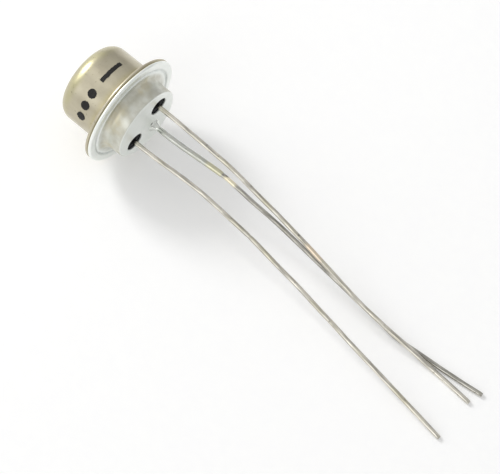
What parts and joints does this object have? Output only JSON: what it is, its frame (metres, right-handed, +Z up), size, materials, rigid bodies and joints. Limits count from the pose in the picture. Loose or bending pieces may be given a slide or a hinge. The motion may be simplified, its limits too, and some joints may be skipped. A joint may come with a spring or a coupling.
{
  "type": "germanium transistor",
  "caption": "Small germanium transistor in a welded round metal can with a wide rim, glass-sealed header and long bent wire leads, lying on its side.",
  "frame": {"origin": "centre of the header's flat seating face, on the case's axis", "axes": "+X along the case's axis, out of the seating face with the leads; +Z up as the part lies on its rim and its leads; +Y across"},
  "size_m": [0.0457, 0.0112, 0.0112],
  "materials": {
    "lacquered_steel": "clear-lacquered nickel plate, satin",
    "tinned_steel": "dull pale tin coat",
    "black_glass": "black, glossy, fused",
    "tinned_wire": "tinned, slightly dull",
    "nickel": "bare nickel",
    "solder": "dull solder",
    "germanium": "etched grey crystal",
    "indium": "soft bright pellet"
  },
  "bodies": {
    "root": {"can": "lacquered_steel", "header": "tinned_steel", "glass_bead_emitter": "black_glass", "glass_bead_collector": "black_glass", "lead_emitter": "tinned_wire", "lead_base": "tinned_wire", "lead_collector": "tinned_wire", "crystal_holder": "nickel", "solder_ring": "solder", "germanium_wafer": "germanium", "emitter_pellet": "indium", "collector_pellet": "indium", "emitter_link": "nickel", "collector_link": "nickel"}
  },
  "joints": []
}
